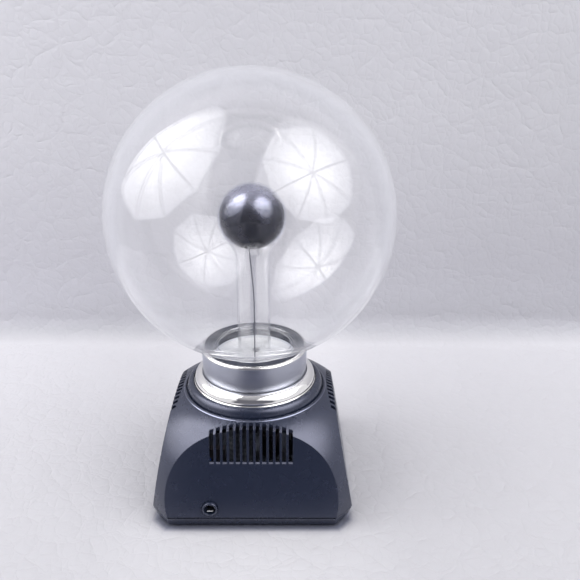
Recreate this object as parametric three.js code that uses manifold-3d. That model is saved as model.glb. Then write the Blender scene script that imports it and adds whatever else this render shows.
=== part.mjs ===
// A plasma ball: a gas-filled glass globe with a central electrode, standing on a moulded
// square base that holds the high-voltage driver. Millimetres, +Z up. The origin is on the
// table under the middle of the base. The power socket is on the -Y face and the mode switch
// is on the +Y face.
import * as THREE from "three";
import { mergeVertices } from "three/addons/utils/BufferGeometryUtils.js";
import Module from "manifold-3d";

const wasm = await Module();
wasm.setup();

// ---- Driving dimensions ----
const GAP = 0.3; // working gap between neighbouring pieces
const SEAM_Z = 11.5; // parting line between the base tray and the housing
const GLOBE_R = 100;
const GLOBE_Z = SEAM_Z + 198.9; // centre of the globe
const GLASS_WALL = 2;
const NECK_R = 29.8; // outside of the glass neck
const NECK_BOTTOM_Z = 98;
const NECK_FILLET = 4; // outside fillet where the neck meets the sphere
const BALL_Z = GLOBE_Z + 1; // centre of the electrode
const BALL_R = 22.9;
const STEM_R = 12.2; // outside of the inner glass tube
const STEM_WALL = 1;

const FACE_HALF = 72.3; // half width over two opposite side faces at the seam
const FACE_LEAN = 0.183; // how far a side face leans in, per millimetre of height
const WALL = 2.5; // moulded wall of the housing and the tray
const DOME = { r: 40, z: SEAM_Z - 1, a: 54, b: 71.8 }; // quarter ellipse turned round the axis
const DECK_Z = 84.5; // flat under the trim ring
const DECK_R = 47.2;
const SLEEVE_R = 39.7; // outside of the bright sleeve round the collar
const SLEEVE_WALL = 2;
const COLLAR_TOP_Z = 113.3;
const COLLAR_BORE_R = 31.3;

const SLOT_COUNT = 13;
const SLOT_PITCH = 4.58;
const SLOT_WIDTH = 2.9;
const SLOT_BOTTOM_Z = 52.8;

const TRAY_BOTTOM_Z = 2;
const TRAY_STEP_Z = 10.3; // above this the tray's rim is set in, which leaves a dark line under the housing
const BOARD_TOP_Z = 11;
const BOARD_THICK = 1.6;
const JACK = { x: -29.5, z: BOARD_TOP_Z + 7.2 }; // axis of the power socket
const SWITCH_Z = 30; // height of the mode switch on its face
const CASE_SCREW_XY = 57;

const ROUND = 32; // facets round the large turned parts
const SMALL = 10; // facets round screws, pins and other small parts

// ---- Materials ----
const finish = (color, roughness, metalness = 0) =>
  new THREE.MeshStandardMaterial({ color, roughness, metalness });
const glassy = (opacity) =>
  new THREE.MeshStandardMaterial({ color: 0xf2f5f7, roughness: 0.03, transparent: true, opacity });
const material = {
  glass: glassy(0.25),
  blackShell: finish(0x24262e, 0.38),
  blackCollar: finish(0x2a2c33, 0.25),
  chrome: finish(0xe8e8e4, 0.08, 1),
  darkMetal: finish(0x3a3c48, 0.25, 0.9),
  wool: finish(0x6d6f74, 0.5, 0.8),
  steel: finish(0xb8bac0, 0.3, 1),
  copper: finish(0xb5703c, 0.35, 1),
  rubber: finish(0x17171a, 0.85),
  silicone: finish(0xdcdde2, 0.5),
  whitePlastic: finish(0xece9df, 0.5),
  board: finish(0x8a6a3a, 0.6),
  ferrite: finish(0x2c2b2e, 0.7),
  potting: finish(0x1b1d22, 0.45),
  aluminium: finish(0xbfc2c6, 0.4, 1),
  sleeve: finish(0x1f3f86, 0.4),
  film: finish(0x9c3b26, 0.45),
  redLead: finish(0xb3201c, 0.5),
};

// ---- Making solids ----

// A closed three.js geometry as a manifold solid.
function solid(geometry) {
  const bare = geometry.index ? geometry.toNonIndexed() : geometry.clone();
  bare.deleteAttribute("normal");
  bare.deleteAttribute("uv");
  const merged = mergeVertices(bare, 1e-4);
  return new wasm.Manifold(
    new wasm.Mesh({
      numProp: 3,
      vertProperties: merged.attributes.position.array,
      triVerts: new Uint32Array(merged.index.array),
    }),
  );
}

// A manifold solid back as a three.js geometry.
function geometryOf(made) {
  const { vertProperties, triVerts } = made.getMesh();
  const geometry = new THREE.BufferGeometry();
  geometry.setAttribute("position", new THREE.BufferAttribute(new Float32Array(vertProperties), 3));
  geometry.setIndex(new THREE.BufferAttribute(new Uint32Array(triVerts), 1));
  geometry.computeVertexNormals();
  return geometry;
}

const cutAll = (body, tools) => tools.reduce((left, tool) => left.subtract(tool), body);
const joinAll = (body, pieces) => pieces.reduce((whole, piece) => whole.add(piece), body);

// A profile of [radius, height] points turned round +Z. The points may run either way round.
function turned(profile, facets = ROUND) {
  const points = profile.map(([r, z]) => new THREE.Vector2(r, z));
  const area = points.reduce((sum, p, i) => sum + p.cross(points[(i + 1) % points.length]), 0);
  return new THREE.LatheGeometry(area > 0 ? points : points.reverse(), facets).rotateX(Math.PI / 2);
}

// A turned skin of even thickness, from its outside profile run from the top down.
function skin(outside, wall, facets = ROUND) {
  const last = outside.length - 1;
  const inside = outside.map(([r, z], i) => {
    if (r < 1e-6) return [0, z - wall];
    const [dr, dz] = [0, 1].map((k) => outside[Math.min(i + 1, last)][k] - outside[Math.max(i - 1, 0)][k]);
    const scale = wall / Math.hypot(dr, dz);
    return [r + dz * scale, z - dr * scale];
  });
  const closing = outside[0][0] < 1e-6 ? [] : [outside[0]];
  return turned([...outside, ...inside.reverse(), ...closing], facets);
}

// A round bar along +Z from its foot to its top.
function rod(radius, foot, top, facets = SMALL) {
  const geometry = new THREE.CylinderGeometry(radius, radius, top - foot, facets);
  return geometry.rotateX(Math.PI / 2).translate(0, 0, (foot + top) / 2);
}

// A block from its lowest corner to its highest corner.
function block(low, high) {
  const [x, y, z] = low.map((value, i) => high[i] - value);
  return new THREE.BoxGeometry(x, y, z).translate(...low.map((value, i) => (value + high[i]) / 2));
}

// A square frustum round +Z, given its half widths at two heights.
function frustum(halfLow, low, halfHigh, high) {
  const geometry = new THREE.CylinderGeometry(halfHigh * Math.SQRT2, halfLow * Math.SQRT2, high - low, 4);
  return geometry.rotateY(Math.PI / 4).rotateX(Math.PI / 2).translate(0, 0, (low + high) / 2);
}

// Points on an arc of an ellipse, angles in degrees from +r towards +z.
function arc(r, z, a, b, from, to, steps) {
  return Array.from({ length: steps + 1 }, (_, i) => {
    const t = THREE.MathUtils.degToRad(from + ((to - from) * i) / steps);
    return [r + a * Math.cos(t), z + b * Math.sin(t)];
  });
}

// A round wire along a smooth curve through the given points.
function wire(points, radius, steps = 16, facets = 8) {
  const section = new THREE.Shape().absarc(0, 0, radius, 0, 2 * Math.PI);
  const path = new THREE.CatmullRomCurve3(points.map((p) => new THREE.Vector3(...p)));
  const options = { steps, curveSegments: facets / 2, extrudePath: path, bevelEnabled: false };
  return new THREE.ExtrudeGeometry(section, options);
}

function piece(name, shape, look, position = [0, 0, 0]) {
  const mesh = new THREE.Mesh(shape.isBufferGeometry ? shape : geometryOf(shape), look);
  mesh.name = name;
  mesh.position.set(...position);
  return mesh;
}

function group(...children) {
  const made = new THREE.Group();
  made.add(...children);
  return made;
}

// A pan-head screw pointing up: its head's underside is at z = 0 and its shank rises from there.
function screw(headR, headH, shankR, length) {
  return turned([[0, -headH], [headR * 0.8, -headH], [headR, -headH * 0.5], [headR, 0], [shankR, 0],
    [shankR, length], [0, length]], SMALL);
}

const quarters = [0, 1, 2, 3].map((i) => (i * Math.PI) / 2);
const corners = [[-1, -1], [1, -1], [1, 1], [-1, 1]];
const faceHalfAt = (z) => FACE_HALF - FACE_LEAN * (z - SEAM_Z);
const LEAN_ANGLE = Math.atan(FACE_LEAN);

// ---- Glass and electrode ----

// The globe: a sphere that runs through a fillet into an open neck.
function globe() {
  const bendR = NECK_R + NECK_FILLET;
  const drop = Math.sqrt((GLOBE_R + NECK_FILLET) ** 2 - bendR ** 2);
  const tangent = THREE.MathUtils.radToDeg(Math.atan2(-drop, bendR));
  return skin([
    ...arc(0, GLOBE_Z, GLOBE_R, GLOBE_R, 90, tangent, 11),
    ...arc(bendR, GLOBE_Z - drop, NECK_FILLET, NECK_FILLET, tangent + 180, 180, 2).slice(1),
    [NECK_R, NECK_BOTTOM_Z],
  ], GLASS_WALL, 28);
}

// The inner glass: a round bulb at the top, a tube, and a flared foot that closes the neck.
function stem() {
  const bulbR = BALL_R + 1.4;
  const shoulderZ = BALL_Z - 30;
  const flare = { r: 7, z: NECK_BOTTOM_Z + STEM_WALL + 8 };
  return skin([
    ...arc(0, BALL_Z, bulbR, bulbR, 90, -44, 7),
    ...arc(STEM_R + 8, shoulderZ, 8, 10, 135, 180, 2),
    ...arc(STEM_R + flare.r, flare.z, flare.r, flare.r, 180, 270, 3),
    [NECK_R - GLASS_WALL - GAP, flare.z - flare.r],
  ], STEM_WALL, 20);
}

// The dark conductive lining of the bulb, open at the throat.
function electrode() {
  const lining = 0.8;
  return skin(arc(0, BALL_Z, BALL_R, BALL_R, 90, -66, 8), lining, 20);
}

const WIRE_R = 0.5;
const WIRE_TOP = [-2.8, 0, BALL_Z - 13];
const leadPath = [[0, 0, 87], [0, 0, 97], [0.6, 0, 130], [-0.9, 0, 165], [-2.6, 0, BALL_Z - 26], WIRE_TOP];

// A tuft of steel wool in the throat, pressed against the lining, with a hole for the wire.
function wool() {
  const lumps = [
    [0, -19.5], [5.5, -19.8], [7.4, -18.4], [6.6, -16], [8.2, -13.5], [7, -10.5], [4.2, -9.5], [0, -9],
  ];
  const tuft = solid(turned(lumps.map(([r, z]) => [r, BALL_Z + z]), SMALL));
  return tuft.subtract(solid(rod(WIRE_R + GAP, BALL_Z - 25, BALL_Z - 11).translate(WIRE_TOP[0], 0, 0)));
}

// The sealed tip of the pumping tube, under the flared foot.
function exhaustTip() {
  return turned([[0, -12], [0.7, -11.5], [1.5, -9.5], [2.6, -7.5], [2.6, 0], [0, 0]], SMALL);
}

const TIP_AT = [0, 19, NECK_BOTTOM_Z + 0.2];

const glassAssembly = group(
  piece("glass_globe", globe(), material.glass),
  piece("glass_stem", stem(), material.glass),
  piece("exhaust_tip", exhaustTip(), material.glass, TIP_AT),
  piece("electrode_ball", electrode(), material.darkMetal),
  piece("contact_wool", wool(), material.wool),
  piece("lead_wire", wire(leadPath, WIRE_R, 12, 6), material.steel),
);

// ---- Collar ----

const COLLAR_SCREW_R = 1.3;
const FLANGE = { r: 46, low: 78.7, high: 81.7, screwR: 43, screws: [90, 210, 330] };
const CUP = { low: 95, floor: 97.6, rim: 103.2, r: COLLAR_BORE_R - GAP };

const onFlange = (degrees) => {
  const t = THREE.MathUtils.degToRad(degrees);
  return [FLANGE.screwR * Math.cos(t), FLANGE.screwR * Math.sin(t), 0];
};

// One hole at each screw of the flange.
const flangeHoles = (radius, foot, top) =>
  FLANGE.screws.map((angle) => solid(rod(radius, foot, top).translate(...onFlange(angle))));

// The black tube that carries the globe, with a shelf inside and a flange under the housing.
function collar() {
  const r = SLEEVE_R - SLEEVE_WALL - GAP;
  const shelf = CUP.low - GAP;
  const ring = solid(turned([
    [FLANGE.r, FLANGE.low], [FLANGE.r, FLANGE.high], [r, FLANGE.high],
    [r, COLLAR_TOP_Z], [COLLAR_BORE_R + 0.4, COLLAR_TOP_Z], [COLLAR_BORE_R, COLLAR_TOP_Z - 0.6],
    [COLLAR_BORE_R, shelf], [24, shelf], [24, shelf - 2.5],
    [34, shelf - 2.5], [34, FLANGE.low], [FLANGE.r, FLANGE.low],
  ]));
  return cutAll(ring, flangeHoles(COLLAR_SCREW_R + GAP, 70, 90));
}

// The bright metal sleeve over the collar, with a rounded top edge.
function sleeve() {
  const inner = SLEEVE_R - SLEEVE_WALL;
  return turned([
    [SLEEVE_R, FLANGE.high + GAP],
    ...arc(inner, COLLAR_TOP_Z - SLEEVE_WALL, SLEEVE_WALL, SLEEVE_WALL, 0, 90, 3),
    [inner, FLANGE.high + GAP],
    [SLEEVE_R, FLANGE.high + GAP],
  ]);
}

// The white insulating cup under the glass foot.
function cup() {
  const body = solid(turned([
    [0, CUP.low], [CUP.r, CUP.low], [CUP.r, CUP.rim], [CUP.r - 0.9, CUP.rim],
    [CUP.r - 0.9, CUP.floor], [0, CUP.floor],
  ]));
  const wireHole = rod(2.2, 90, 105);
  const tipHole = rod(3.2, 90, 105).translate(TIP_AT[0], TIP_AT[1], 0);
  return cutAll(body, [solid(wireHole), solid(tipHole)]);
}

// The bright ring round the foot of the sleeve: convex, with a rolled outer edge.
function trimRing() {
  const bore = SLEEVE_R + GAP;
  const seat = DECK_Z + GAP;
  return turned([
    [bore, seat], [46.2, seat], [46.8, seat + 0.5], [46.8, seat + 1.3],
    ...arc(bore + 0.4, seat + 1.3, 46.4 - bore, 7.1, 0, 90, 5),
    [bore, seat + 8.1], [bore, seat],
  ]);
}

// The pale silicone seal between the glass neck and the collar's bore.
const seal = turned([[NECK_R + GAP, CUP.rim + GAP], [COLLAR_BORE_R - GAP, CUP.rim + GAP],
  [COLLAR_BORE_R - GAP, CUP.rim + 1.8], [NECK_R + GAP, CUP.rim + 1.8], [NECK_R + GAP, CUP.rim + GAP]]);
// The rubber boot where the lead meets the wire, under the cup.
const boot = turned([[1, 84], [5, 84], [5, 88], [3.4, 91], [3.4, 94.5], [1, 94.5], [1, 84]], SMALL);
const collarScrew = screw(2.4, 1.8, COLLAR_SCREW_R, 5.2);

const collarAssembly = group(
  piece("neck_collar", collar(), material.blackCollar),
  piece("neck_sleeve", sleeve(), material.chrome),
  piece("neck_seal", seal, material.silicone),
  piece("insulator_cup", cup(), material.whitePlastic),
  piece("trim_ring", trimRing(), material.chrome),
  piece("wire_boot", boot, material.rubber),
  ...FLANGE.screws.map((angle, i) => {
    const [x, y] = onFlange(angle);
    return piece(`collar_screw_${i + 1}`, collarScrew, material.steel, [x, y, FLANGE.low - GAP]);
  }),
);

// ---- Housing ----

const domeArc = (inset, from, to, steps) =>
  arc(DOME.r, DOME.z, DOME.a - inset, DOME.b - inset, from, to, steps);

// The outside of the housing: the turned shoulder and collar seat, cut by four leaning faces.
function housingOutside() {
  const shoulder = turned([
    [0, SEAM_Z],
    ...domeArc(0, 0.8, 73.2, 9),
    [54.8, 80.1], [53.2, 80.3], [52.9, 79.3], [52.2, 79.3],
    ...arc(DECK_R + 0.8, 79.6, 4.2, 6.7, 0, 90, 3),
    [DECK_R, 86], [DECK_R, DECK_Z], [0, DECK_Z],
  ]);
  const faces = frustum(faceHalfAt(0), 0, faceHalfAt(100), 100);
  return solid(shoulder).intersect(solid(faces));
}

function housingInside() {
  const shoulder = turned([
    [0, 5], [DOME.r + DOME.a - WALL, 5],
    ...domeArc(WALL, 0, 80, 6),
    [49, 82], [SLEEVE_R + 0.5, 82], [SLEEVE_R + 0.5, 95], [0, 95],
  ]);
  const inset = WALL / Math.cos(LEAN_ANGLE); // so that the leaning wall is WALL thick
  const faces = frustum(faceHalfAt(0) - inset, 0, faceHalfAt(100) - inset, 100);
  return solid(shoulder).intersect(solid(faces));
}

// One face's row of vent slots. Each runs up over the edge of the shoulder, the outer ones less far.
function slotsOn(angle) {
  const half = (SLOT_COUNT - 1) / 2;
  return Array.from({ length: SLOT_COUNT }, (_, i) => {
    const x = (i - half) * SLOT_PITCH;
    const end = 55.5 + 1.8 * ((i - half) / half) ** 2;
    const low = [x - SLOT_WIDTH / 2, -80, SLOT_BOTTOM_Z];
    return solid(block(low, [x + SLOT_WIDTH / 2, -end, 90]).rotateZ(angle));
  });
}

// A rod at each case screw, standing from one height to another.
const atCaseScrews = (radius, foot, top) => corners.map(([sx, sy]) =>
  solid(rod(radius, foot, top).translate(sx * CASE_SCREW_XY, sy * CASE_SCREW_XY, 0)));

// Turns a geometry that points out along +Z into one that points out of the -Y face, level.
const outOfFront = (geometry, x, y, z) => geometry.rotateX(Math.PI / 2).translate(x, y, z);

const jackFaceY = -faceHalfAt(JACK.z);
const JACK_BACK_Y = jackFaceY + WALL + 2; // inner end of the thick pad round the power socket
// The round nose stands level out of the leaning face, and its mouth is wider than the bore behind.
const JACK_NOSE = { r: 5.65, y: -72.6, mouthR: 4.1, mouthDepth: 4.5 };

// The mode switch lies on its own leaning frame on the +Y face: local x along the face,
// local y out of it, local z up it, with the origin on the face's outside.
const switchFrame = new THREE.Matrix4()
  .makeTranslation(0, faceHalfAt(SWITCH_Z), SWITCH_Z)
  .multiply(new THREE.Matrix4().makeRotationX(LEAN_ANGLE));
const SWITCH = { halfOpening: 8.2, halfHeight: 3.1, travel: 4, screwX: 14, knobHalf: 3.2 };
const SWITCH_SCREW_R = 1;
const CASE_SCREW_R = 1.4;

// A rod on each peg of the mode switch, running inwards from the given depth.
const onSwitchPegs = (radius, depth, length) => [-1, 1].map((side) => {
  const inwards = rod(radius, 0, length).rotateX(Math.PI / 2);
  return solid(inwards.translate(side * SWITCH.screwX, -depth, 0).applyMatrix4(switchFrame));
});

function housing() {
  const outside = housingOutside();
  const shell = outside.subtract(housingInside());
  const bosses = atCaseScrews(4.2, SEAM_Z + 0.4, 62).map((boss) => boss.intersect(outside));
  const jackPad = solid(outOfFront(rod(8, -4.5, 0.8, 16), JACK.x, jackFaceY, JACK.z)).intersect(outside);
  const whole = joinAll(shell, [...bosses, jackPad, ...onSwitchPegs(3, 0.5, 5.5)]);
  const socketHole = outOfFront(rod(JACK_NOSE.r + GAP, -10, 10, 16), JACK.x, jackFaceY, JACK.z);
  const { halfOpening, halfHeight } = SWITCH;
  const opening = block([-halfOpening, -5, -halfHeight], [halfOpening, 5, halfHeight]);
  return cutAll(whole, [
    ...atCaseScrews(CASE_SCREW_R + GAP, 5, 30),
    ...onSwitchPegs(SWITCH_SCREW_R + GAP, 2, 4.5),
    ...flangeHoles(COLLAR_SCREW_R + GAP, 80, 83.9),
    ...quarters.flatMap(slotsOn),
    solid(socketHole), solid(opening.applyMatrix4(switchFrame)),
  ]);
}

// ---- Tray, feet and case screws ----

const FOOT = { x: 44, y: 54, r: 6 };
const CASE_SCREW_SEAT_Z = TRAY_BOTTOM_Z + 4; // the heads sit up inside the tray's posts
const BOARD_SCREW = { x: 45, front: -60, back: 25 };
const boardCorners = [[-1, "front"], [1, "front"], [1, "back"], [-1, "back"]]
  .map(([side, end]) => [side * BOARD_SCREW.x, BOARD_SCREW[end]]);

// The tray under the seam: it tapers in towards the table, and carries the board and the posts.
function tray() {
  const top = SEAM_Z - GAP;
  const low = TRAY_BOTTOM_Z;
  const body = solid(turned([[0, low], [90, low], [91, low + 0.8], [93.6, TRAY_STEP_Z], [0, TRAY_STEP_Z]]))
    .intersect(solid(frustum(68.4, low, FACE_HALF - GAP, TRAY_STEP_Z)));
  const lip = solid(turned([[0, low], [92.4, low], [92.4, top], [0, top]]))
    .intersect(solid(frustum(FACE_HALF - 1.5, TRAY_STEP_Z - 1, FACE_HALF - 1.5, top)));
  const outside = body.add(lip);
  const inside = solid(turned([[0, low + WALL], [88, low + WALL], [91, top + 1], [0, top + 1]]))
    .intersect(solid(frustum(66.4, low + WALL, FACE_HALF - WALL - 0.5, top + 1)));
  const casePosts = atCaseScrews(4.5, low + 1, top);
  const boardPosts = boardCorners.map(([x, y]) =>
    solid(rod(3.2, low + 1, BOARD_TOP_Z - BOARD_THICK - GAP).translate(x, y, 0)));
  const caseHoles = [...atCaseScrews(CASE_SCREW_R + GAP, 0, 20), ...atCaseScrews(3.4, 0, CASE_SCREW_SEAT_Z)];
  const boardHoles = boardCorners.map(([x, y]) => solid(rod(1.5, low + 3, 20).translate(x, y, 0)));
  const footPockets = corners.map(([sx, sy]) =>
    solid(rod(FOOT.r + GAP, 0, low + 1, 16).translate(sx * FOOT.x, sy * FOOT.y, 0)));
  const vents = [-24, -16, -8, 0, 8, 16, 24].map((x) =>
    solid(block([x - 1.5, -20, 0], [x + 1.5, 10, low + 4])));
  return cutAll(joinAll(outside.subtract(inside), [...casePosts, ...boardPosts]),
    [...caseHoles, ...boardHoles, ...footPockets, ...vents]);
}

const foot = turned([[0, 0], [FOOT.r - 0.5, 0], [FOOT.r, 0.5], [FOOT.r, 2.7], [0, 2.7]], 16);
const caseScrew = screw(3, 2.2, CASE_SCREW_R, 20);
const boardScrew = screw(2.5, 1.6, 1.2, 6).rotateX(Math.PI);

const baseAssembly = group(
  piece("housing_shell", housing(), material.blackShell),
  piece("base_tray", tray(), material.blackShell),
  ...corners.map(([sx, sy], i) =>
    piece(`foot_${i + 1}`, foot, material.rubber, [sx * FOOT.x, sy * FOOT.y, 0])),
  ...corners.map(([sx, sy], i) =>
    piece(`case_screw_${i + 1}`, caseScrew, material.steel,
      [sx * CASE_SCREW_XY, sy * CASE_SCREW_XY, CASE_SCREW_SEAT_Z - GAP])),
);

// ---- Power socket ----

// The socket's body stands on the board, and its round nose comes out through the -Y face.
function jackBody() {
  const front = JACK_BACK_Y + GAP;
  const root = front + 1;
  const body = solid(block([-4.5, front, BOARD_TOP_Z + GAP], [4.5, front + 13.5, JACK.z + 5.2]));
  const nose = solid(outOfFront(rod(JACK_NOSE.r, 0, root - JACK_NOSE.y, 16), 0, root, JACK.z));
  const bore = outOfFront(rod(3.1, -5, 10, 16), 0, front, JACK.z);
  const mouth = outOfFront(rod(JACK_NOSE.mouthR, -JACK_NOSE.mouthDepth, 2, 16), 0, JACK_NOSE.y, JACK.z);
  const pinHole = outOfFront(rod(1.35, -20, 5), 0, front, JACK.z);
  return cutAll(body.add(nose), [solid(bore), solid(mouth), solid(pinHole)]);
}

const jackPin = outOfFront(
  turned([[0, -13], [1.05, -13], [1.05, 3], [0.6, 3.6], [0, 3.6]], SMALL), 0, JACK_BACK_Y + GAP, JACK.z);

// The contact spring lies along the floor of the bore and spreads to a broad tip in the mouth.
function jackSpring() {
  const low = JACK.z - 2.6;
  const high = JACK.z - 2.3;
  const tongue = solid(block([-1.3, -69.2, low], [1.3, JACK_BACK_Y + 4.5, high]));
  const tip = solid(block([-2.1, -70.8, low], [2.1, -68.5, high]));
  return tongue.add(tip);
}

const powerSocket = group(
  piece("socket_body", jackBody(), material.potting),
  piece("socket_pin", jackPin, material.steel),
  piece("socket_spring", jackSpring(), material.steel),
);
powerSocket.position.x = JACK.x;

// ---- Mode switch ----

// The metal frame lies behind the face on two pegs, with the slider's channel in its can.
function switchBody() {
  const plate = solid(block([-18, -7.6, -4.5], [18, -6.3, 4.5]));
  const can = solid(block([-11, -13, -4.5], [11, -6.5, 4.5]));
  const reach = SWITCH.knobHalf + SWITCH.travel;
  const window = solid(block([-reach - GAP, -8, -2.4], [reach + GAP, 0, 2.4]));
  const channel = solid(block([-reach - 1.4, -10.4, -2.4], [reach + 1.4, -7.6, 2.4]));
  const ears = [-1, 1].map((side) =>
    solid(rod(1.3, 0, 8).rotateX(Math.PI / 2).translate(side * SWITCH.screwX, -3, 0)));
  return cutAll(plate.add(can), [window, channel, ...ears]);
}

// The slider: a foot held in the channel, and a ribbed grip that stands out of the opening.
function switchSlider() {
  const held = solid(block([-SWITCH.knobHalf - 1.1, -10.1, -2.1], [SWITCH.knobHalf + 1.1, -7.9, 2.1]));
  const grip = solid(block([-SWITCH.knobHalf, -9, -2.1], [SWITCH.knobHalf, 2.8, 2.1]));
  const grooves = [-2, 0, 2].map((x) => solid(block([x - 0.45, 2.2, -3], [x + 0.45, 4, 3])));
  return cutAll(held.add(grip), grooves);
}

const switchScrew = screw(2.2, 1.5, SWITCH_SCREW_R, 5).rotateX(-Math.PI / 2);

const modeSwitch = group(
  piece("switch_body", switchBody(), material.aluminium),
  piece("switch_slider", switchSlider(), material.blackCollar),
  ...[-1, 1].map((side, i) =>
    piece(`switch_screw_${i + 1}`, switchScrew, material.steel, [side * SWITCH.screwX, -7.6 - GAP, 0])),
);
modeSwitch.applyMatrix4(switchFrame);

// ---- Driver electronics ----

const onBoard = BOARD_TOP_Z + GAP;
const BOARD = { halfWidth: 50, front: -65, back: 30 };

function circuitBoard() {
  const { halfWidth, front, back } = BOARD;
  const edge = [[-halfWidth, front], [halfWidth, front], [halfWidth, back], [-halfWidth, back]];
  const outline = new THREE.Shape(edge.map(([x, y]) => new THREE.Vector2(x, y)));
  boardCorners.forEach(([x, y]) => {
    outline.holes.push(new THREE.Path().absarc(x, y, 1.6, 0, 2 * Math.PI, true));
  });
  const options = { depth: BOARD_THICK, bevelEnabled: false, curveSegments: 6 };
  return new THREE.ExtrudeGeometry(outline, options).translate(0, 0, BOARD_TOP_Z - BOARD_THICK);
}

const CORE = { leg: 12, half: 4, yoke: 8, height: 40 };

// A ring-shaped core of two legs and two yokes, standing on the board.
function ferriteCore() {
  const reach = CORE.leg + CORE.half;
  const whole = solid(block([-reach, -CORE.half, 0], [reach, CORE.half, CORE.height]));
  const window = CORE.leg - CORE.half;
  return whole.subtract(solid(block([-window, -10, CORE.yoke], [window, 10, CORE.height - CORE.yoke])));
}

function winding(inner, outer, foot, top, facets) {
  return turned([[inner, foot], [outer, foot], [outer, top], [inner, top], [inner, foot]], facets);
}

// The hole that clamps the transistor's tab to the sink: along x, level with the tab's hole.
const TAB_HOLE_Z = 25;
const tabHole = (y) => solid(rod(1.6, -8, 8).rotateY(Math.PI / 2).translate(0, y, TAB_HOLE_Z));

// A finned extrusion: a back plate with fins standing off it along +x.
function heatSink() {
  const plate = solid(block([0, -14, 0], [3, 14, 34]));
  const fins = [-12, -6, 0, 6, 12].map((y) => solid(block([2.5, y - 0.7, 0], [16, y + 0.7, 34])));
  return joinAll(plate, fins).subtract(tabHole(3));
}

// The transistor: a moulded body, a metal tab above it and three legs below.
function transistor() {
  const body = solid(block([-4.5, -5, 5], [0, 5, 20]));
  const tab = solid(block([-1.3, -5, 19], [0, 5, 28.5]));
  const legs = [-2.5, 0, 2.5].map((y) => solid(block([-2.8, y - 0.4, 0], [-2, y + 0.4, 6])));
  return joinAll(body, [tab, ...legs]).subtract(tabHole(0));
}

function canCapacitor(radius, height) {
  return turned([[0, 0], [radius - 0.4, 0], [radius, 0.6], [radius, height - 0.8], [radius - 0.6, height],
    [radius - 1.2, height - 0.3], [0, height - 0.3]], 14);
}

// A dual in-line chip: a body on two rows of four legs.
function driverChip() {
  const leg = block([-0.3, -0.3, 0], [0.3, 0.3, 2.5]);
  const legs = [-3.7, 3.7].flatMap((y) =>
    [-3.81, -1.27, 1.27, 3.81].map((x) => solid(leg.clone().translate(x, y, 0))));
  return joinAll(solid(block([-5, -4.2, 1.2], [5, 4.2, 4.6])), legs);
}

// An axial resistor lying on two bent legs.
function resistor() {
  const outline = [[0, -4], [1.3, -4], [1.6, -3], [1.3, -2], [1.3, 2], [1.6, 3], [1.3, 4], [0, 4]];
  const body = solid(turned(outline, SMALL).rotateX(Math.PI / 2).translate(0, 0, 2.6));
  const legs = [-5, 5].map((y) => solid(block([-0.35, y - 0.35, 0], [0.35, y + 0.35, 2.9])));
  const bar = solid(block([-0.35, -5.3, 2.25], [0.35, 5.3, 2.95]));
  return joinAll(body, [...legs, bar]);
}

const transformer = group(
  piece("ferrite_core", ferriteCore(), material.ferrite),
  piece("high_voltage_winding", winding(6.1, 11.4, 8.6, 31.4, 18), material.potting, [-CORE.leg, 0, 0]),
  piece("primary_winding", winding(6.1, 7.9, 10, 30, 16), material.copper, [CORE.leg, 0, 0]),
);
transformer.position.set(0, -10, onBoard);

const SINK_AT = [30, -6, onBoard];

// The three leads from the back of the mode switch down to the board.
const switchLead = (x) => wire([
  [x, 55.7, 27.6], [x * 1.1, 50, 26.5], [x * 1.2, 42, 22],
  [x * 1.1, 33, 17], [x, 27, 15.5], [x, 25, onBoard + 0.2],
], 0.8, 9, 6);

// The insulated lead from the top of the winding up to the boot under the glass.
const highVoltageLead = wire([
  [-20, -10, onBoard + 31.7], [-20, -10, onBoard + 38], [-12, -8, 62], [-2, -3, 70], [0, 0, 78], [0, 0, 83.6],
], 1.6, 12, 8);

const electronics = group(
  piece("circuit_board", circuitBoard(), material.board),
  transformer,
  piece("heat_sink", heatSink(), material.aluminium, SINK_AT),
  piece("power_transistor", transistor(), material.potting, [SINK_AT[0] - GAP, SINK_AT[1] + 3, onBoard]),
  piece("transistor_screw", screw(2.4, 1.6, 1.2, 4).rotateY(Math.PI / 2), material.steel,
    [SINK_AT[0] - GAP - 1.3 - GAP, SINK_AT[1] + 3, onBoard + TAB_HOLE_Z]),
  piece("filter_capacitor", canCapacitor(6.4, 21), material.sleeve, [-38, -38, onBoard]),
  piece("output_capacitor", canCapacitor(4, 12), material.sleeve, [-38, -22, onBoard]),
  piece("film_capacitor", block([-9, -3.2, 0], [9, 3.2, 11]), material.film, [-34, -6, onBoard]),
  piece("driver_chip", driverChip(), material.potting, [-34, 10, onBoard]),
  piece("microphone", canCapacitor(4.8, 6), material.aluminium, [34, 22, onBoard]),
  ...[[14, -40], [20, -40], [-14, 18]].map(([x, y], i) =>
    piece(`resistor_${i + 1}`, resistor(), material.whitePlastic, [x, y, onBoard])),
  ...boardCorners.map(([x, y], i) =>
    piece(`board_screw_${i + 1}`, boardScrew, material.steel, [x, y, BOARD_TOP_Z + GAP])),
  piece("high_voltage_lead", highVoltageLead, material.redLead),
  ...[-5, 0, 5].map((x, i) =>
    piece(`switch_lead_${i + 1}`, switchLead(x), x < 0 ? material.redLead : material.potting)),
);

export default group(glassAssembly, collarAssembly, baseAssembly, powerSocket, modeSwitch, electronics);
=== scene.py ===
"""Looks of a plasma ball: a clear gas-filled globe with a dark electrode on a black vented base."""

import math
import random

import bmesh
import bpy
from mathutils import Matrix, Vector


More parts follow.
